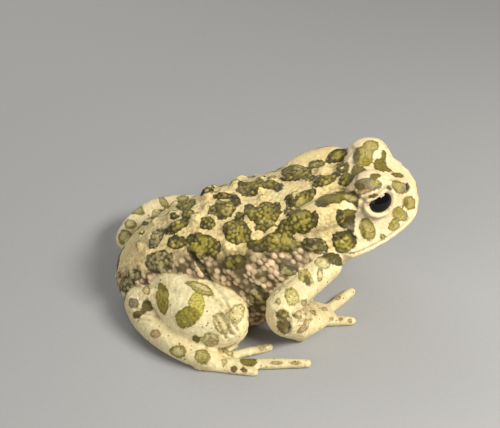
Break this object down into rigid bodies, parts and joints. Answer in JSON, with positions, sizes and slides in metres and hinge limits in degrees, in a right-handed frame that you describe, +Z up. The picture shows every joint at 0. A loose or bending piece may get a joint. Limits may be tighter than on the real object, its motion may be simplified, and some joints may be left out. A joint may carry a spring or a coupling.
{
  "type": "balearic green toad model",
  "caption": "Life-size still model of a green toad sitting with raised head and folded legs, for display.",
  "frame": {"origin": "middle of the underside of the bounding box, on the floor that the toad sits on", "axes": "+X towards the snout, +Y towards the toad's left side, +Z up"},
  "size_m": [0.0746, 0.0664, 0.0387],
  "materials": {
    "back_skin": "satin, warty, cream with olive green blotches",
    "limb_skin": "satin, finely granular, pale cream with olive spots",
    "eye": "wet gloss, black pupil with a thin gold green iris"
  },
  "bodies": {
    "root": {"head": "back_skin", "torso": "back_skin", "eye_l": "eye", "eye_r": "eye", "upper_arm_l": "limb_skin", "upper_arm_r": "limb_skin", "forearm_l": "limb_skin", "forearm_r": "limb_skin", "hand_l": "limb_skin", "hand_r": "limb_skin", "thigh_l": "limb_skin", "thigh_r": "limb_skin", "shank_l": "limb_skin", "shank_r": "limb_skin", "foot_l": "limb_skin", "foot_r": "limb_skin"}
  },
  "joints": []
}
